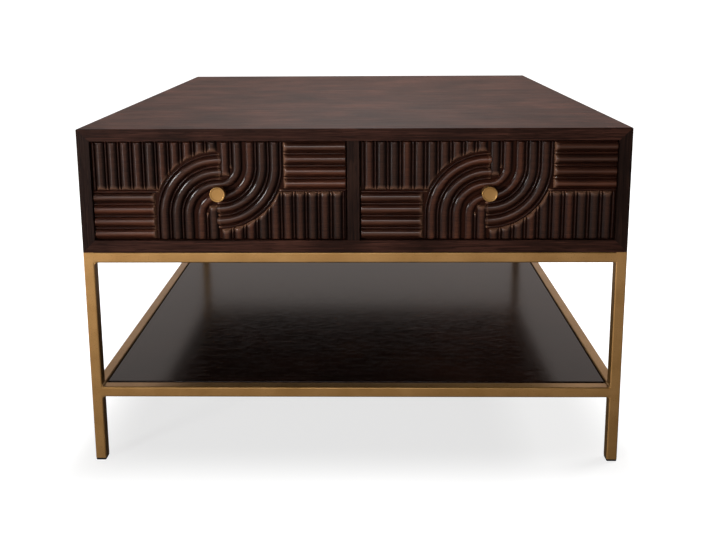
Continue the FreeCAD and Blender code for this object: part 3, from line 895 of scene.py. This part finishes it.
def weldCorners(corner):
    legLow, legHigh = boxOf(corner + "_leg")
    atLeft, atFront = "left" in corner, "front" in corner
    insideX, outsideX = (legHigh.x, legLow.x) if atLeft else (legLow.x, legHigh.x)
    insideY, outsideY = (legHigh.y, legLow.y) if atFront else (legLow.y, legHigh.y)
    towardX, towardY = 1 if atLeft else -1, 1 if atFront else -1
    shape = bmesh.new()

    # fillets in the corners between a leg and the rails that meet it, dressed to a small radius
    size, root = weld["fillet"], weld["root"]
    inset = tube["radius"] * weld["insetShare"]
    turns = [math.pi / 2 * i / weld["steps"] for i in range(weld["steps"] + 1)]
    rails = {ring: boxOf(ring + "_front_rail") for ring in ("top", "lower")}
    for z, up in ((rails["top"][0].z, -1), (rails["lower"][0].z, -1), (rails["lower"][1].z, 1)):
        for axis, inside, toward, low, high in (
            ("y", insideX, towardX, legLow.y, legHigh.y), ("x", insideY, towardY, legLow.x, legHigh.x)
        ):
            outline = [
                (inside + toward * size * (1 - math.sin(t)), z + up * size * (1 - math.cos(t))) for t in turns
            ]
            outline += [
                (inside - toward * root, z + up * size),
                (inside - toward * root, z - up * root),
                (inside + toward * size, z - up * root),
            ]
            add(prism(outline, axis, low + inset, high - inset), shape)

    # on the outside the seam is filled and ground flush
    back, over, below = tube["radius"], weld["seamOver"], weld["seamBelow"]
    frontSeam = (
        (insideX - towardX * back, insideX + towardX * over),
        (outsideY + towardY * below, outsideY + towardY * back),
    )
    sideSeam = (
        (outsideX + towardX * below, outsideX + towardX * back),
        (insideY - towardY * back, insideY + towardY * over),
    )
    for railLow, railHigh in rails.values():
        low, high = railLow.z + weld["seamEnd"], railHigh.z - weld["seamEnd"]
        for seam in (frontSeam, sideSeam):
            (left, right), (front, rear) = (sorted(pair) for pair in seam)
            add(block((left, front, low), (right, rear, high)), shape)
    makePiece(corner + "_welds", shape, frameLook, "table")


for corner in corners:
    weldCorners(corner)

footPlug = {"gap": 0.2, "arris": 1.4}


def mouldedPlug(corner):
    node = corner + "_foot_plug"
    low, high = boxOf(node)
    top = boxOf(corner + "_leg")[0].z
    centre = ((low.x + high.x) / 2, (low.y + high.y) / 2)
    shape = prism(roundedSquare(centre, (high.x - low.x) / 2 - footPlug["gap"]), "z", low.z, top)
    ease(shape, footPlug["arris"], lambda edge: max(end.co.z for end in edge.verts) < low.z + near)
    makePiece(node + "_moulded", shape, footLook, "table", [node])


for corner in corners:
    mouldedPlug(corner)
print("frame made")


# the shelf, and the CAD nodes that keep their own shape

shelf = {"arris": 1.2}
makeBoard("shelf_panel", shelf["arris"], shelfLook, "table")
keptLooks = {
    "corner_plate": frameLook,
    "bearer": frameLook,
    "screws": screwLook,
    "knob_screw": screwLook,
    "runner": drawerLooks["y"],
    "drawer_stop": drawerLooks["x"],
}
for name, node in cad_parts.items():
    for ending, (material, slot) in keptLooks.items():
        if name.endswith(ending):
            node.data.materials.clear()
            node.data.materials.append(material)
print("shelf and kept nodes dressed")


# floor and backdrop: matt white paper that glows evenly, with a painted shadow under the table, where its glow
# is lower. From here on places and sizes are in metres

paper = {
    "reach": 30,
    "domeShare": 0.98,
    "floor": "#949493",
    "backdrop": "#000000",
    "roughness": 0.9,
    "specular": 0.1,
    "glow": "#ffffff",
    # a painted shadow: the glow is lower in a rounded square under the table
    "paintedShadowGlow": 0.72,
    "glowFar": 1.15,
    "paintedShadowFrom": 0.33,
    "paintedShadowTo": 0.5,
    "paintedShadowRound": 0.08,
}


def stageObject(name, mesh):  # seen by the camera, and left out of the light on the table
    thing = bpy.data.objects.new(name, mesh)
    scene.collection.objects.link(thing)
    material, tree, shader = newMaterial(name + ", matt white paper")
    place = addNode(tree, "ShaderNodeTexCoord").outputs["Object"]
    out = addNode(tree, "ShaderNodeVectorMath", {0: place}, operation="ABSOLUTE")
    outs = addNode(tree, "ShaderNodeSeparateXYZ", {"Vector": out}).outputs
    # painted shadow: the glow is lower near the middle, in a rounded square under the table
    away = addNode(
        tree, "ShaderNodeMath", {0: outs["X"], 1: outs["Y"], 2: paper["paintedShadowRound"]}, operation="SMOOTH_MAX"
    )
    glow = addNode(
        tree, "ShaderNodeMapRange",
        {"Value": away, "From Min": paper["paintedShadowFrom"], "From Max": paper["paintedShadowTo"],
         "To Min": paper["paintedShadowGlow"], "To Max": paper["glowFar"]},
        interpolation_type="SMOOTHSTEP",
    )
    setInputs(tree, shader, {
        "Base Color": linear(paper[name]),
        "Roughness": paper["roughness"],
        "Specular IOR Level": paper["specular"],
        "Emission Color": linear(paper["glow"]),
        "Emission Strength": glow,
    })
    mesh.materials.append(material)
    thing.visible_glossy = False
    thing.visible_diffuse = False
    thing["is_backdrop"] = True
    return thing


floorMesh = bpy.data.meshes.new("floor")
reach, floorZ = paper["reach"], cadBox[0].z
floorMesh.from_pydata(
    [(-reach, -reach, floorZ), (reach, -reach, floorZ), (reach, reach, floorZ), (-reach, reach, floorZ)],
    [], [(0, 1, 2, 3)],
)
stageObject("floor", floorMesh)
dome = bmesh.new()
bmesh.ops.create_uvsphere(dome, u_segments=48, v_segments=24, radius=reach * paper["domeShare"])
domeMesh = bpy.data.meshes.new("backdrop")
dome.to_mesh(domeMesh)
dome.free()
backdrop = stageObject("backdrop", domeMesh)
backdrop.visible_shadow = False
backdrop.visible_transmission = False


# the studio's soft light: bright behind and on the floor in front, dim above and to the right

softLight = {
    "colour": "#fff2ec",
    "leftGain": 1.4,
    "rightGain": 0.5,
    "front": 0.04,
    "floor": 0.75,  # the white floor in front of the table, as its front mirrors it
    "behind": 0.53,
    "above": 0.04,
    "below": 0.02,
    # from where to where on a direction's X, Y or Z one strength gives way to another
    "toRight": ("X", -0.9, 0.9),
    "toFloor": ("Z", 0, -0.12),
    "toBehind": ("Y", 0, 0.65),
    "toAbove": ("Z", 0.4, 0.85),
    "toBelow": ("Z", -0.25, -0.6),
}
world = bpy.data.worlds.new("soft studio")
scene.world = world
world.use_nodes = True
sky = world.node_tree
way = addNode(sky, "ShaderNodeTexCoord").outputs["Generated"]
ways = addNode(sky, "ShaderNodeSeparateXYZ", {"Vector": way}).outputs
changes = {}
for change in ("toRight", "toFloor", "toBehind", "toAbove", "toBelow"):
    axis, start, end = softLight[change]
    changes[change] = addNode(
        sky, "ShaderNodeMapRange", {"Value": ways[axis], "From Min": start, "From Max": end},
        interpolation_type="SMOOTHSTEP",
    )
gain, front, behind = (
    addNode(
        sky, "ShaderNodeMix", {0: changes[change], 2: softLight[first], 3: softLight[last]},
        data_type="FLOAT",
    )
    for change, first, last in (
        ("toRight", "leftGain", "rightGain"), ("toFloor", "front", "floor"), ("toFloor", "behind", "below")
    )
)
level = addNode(sky, "ShaderNodeMath", {0: gain, 1: front}, operation="MULTIPLY")
for change, other in (("toBehind", behind), ("toAbove", softLight["above"]), ("toBelow", softLight["below"])):
    level = addNode(sky, "ShaderNodeMix", {0: changes[change], 2: level, 3: other}, data_type="FLOAT")
setInputs(sky, sky.nodes["Background"], {"Strength": level, "Color": linear(softLight["colour"])})

# softboxes: one to the left and a small weak one under it, a wide one behind the camera, one to the
# right and one above the table's back
lamps = {
    "left": {
        "power": 1.75, "size": (0.42, 0.42), "spread": 45,
        "place": (-1.65, -1.75, 0.75), "aim": (-0.15, -0.37, 0.5),
    },
    "low": {
        "power": 0.27, "size": (0.2, 0.3), "spread": 60,
        "place": (-1.4, -1.75, 0.1), "aim": (-0.05, -0.37, 0.33),
    },
    "front": {
        "power": 4.6, "size": (1.7, 0.45), "spread": 120,
        "place": (-0.3, -2.7, 0.55), "aim": (-0.1, -0.37, 0.45),
    },
    "right": {
        "power": 7, "size": (1, 0.6), "spread": 90,
        "place": (2.2, 0.5, 1.5), "aim": (0.375, 0, 0.4),
    },
    "overhead": {
        "power": 34, "size": (0.6, 1.2), "spread": 120,
        "place": (0, 0.95, 2.4), "aim": (0, 0.2, 0.46),
    },
}
for name, lamp in lamps.items():
    light = bpy.data.lights.new(name, "AREA")
    light.shape = "RECTANGLE"
    light.size, light.size_y = lamp["size"]
    light.spread = math.radians(lamp["spread"])
    light.energy = lamp["power"]
    place, aim = Vector(lamp["place"]), Vector(lamp["aim"])
    softbox = bpy.data.objects.new(name, light)
    softbox.location = place
    softbox.rotation_euler = (aim - place).to_track_quat("-Z", "Y").to_euler()
    scene.collection.objects.link(softbox)

lens = {
    "place": (22.1, -1391.6, 651.5),  # in millimetres
    "pitchDown": 9.14,
    "turnLeft": 0.86,
    "roll": -0.32,
    "focalPixels": 773.3,
    "imageWidth": 716,
    "imageHeight": 540,
    "axisRow": 127,  # the image row that the lens axis meets
    "sensorWidth": 36,
}
cameraData = bpy.data.cameras.new("camera")
camera = bpy.data.objects.new("camera", cameraData)
scene.collection.objects.link(camera)
scene.camera = camera
cameraData.sensor_width = lens["sensorWidth"]
cameraData.lens = lens["sensorWidth"] * lens["focalPixels"] / lens["imageWidth"]
cameraData.shift_y = (lens["axisRow"] - lens["imageHeight"] / 2) / lens["imageWidth"]
aim = Matrix.Rotation(math.radians(lens["turnLeft"]), 4, "Z")
aim = aim @ Matrix.Rotation(math.radians(90 - lens["pitchDown"]), 4, "X")
aim = aim @ Matrix.Rotation(math.radians(lens["roll"]), 4, "Z")
camera.matrix_world = Matrix.Translation(Vector(lens["place"]) * mm) @ aim
scene.view_settings.view_transform = "Standard"
print("camera and light set")

sizes = {name: [list(corner) for corner in box] for name, box in (("cad", cadBox), ("visual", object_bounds()))}
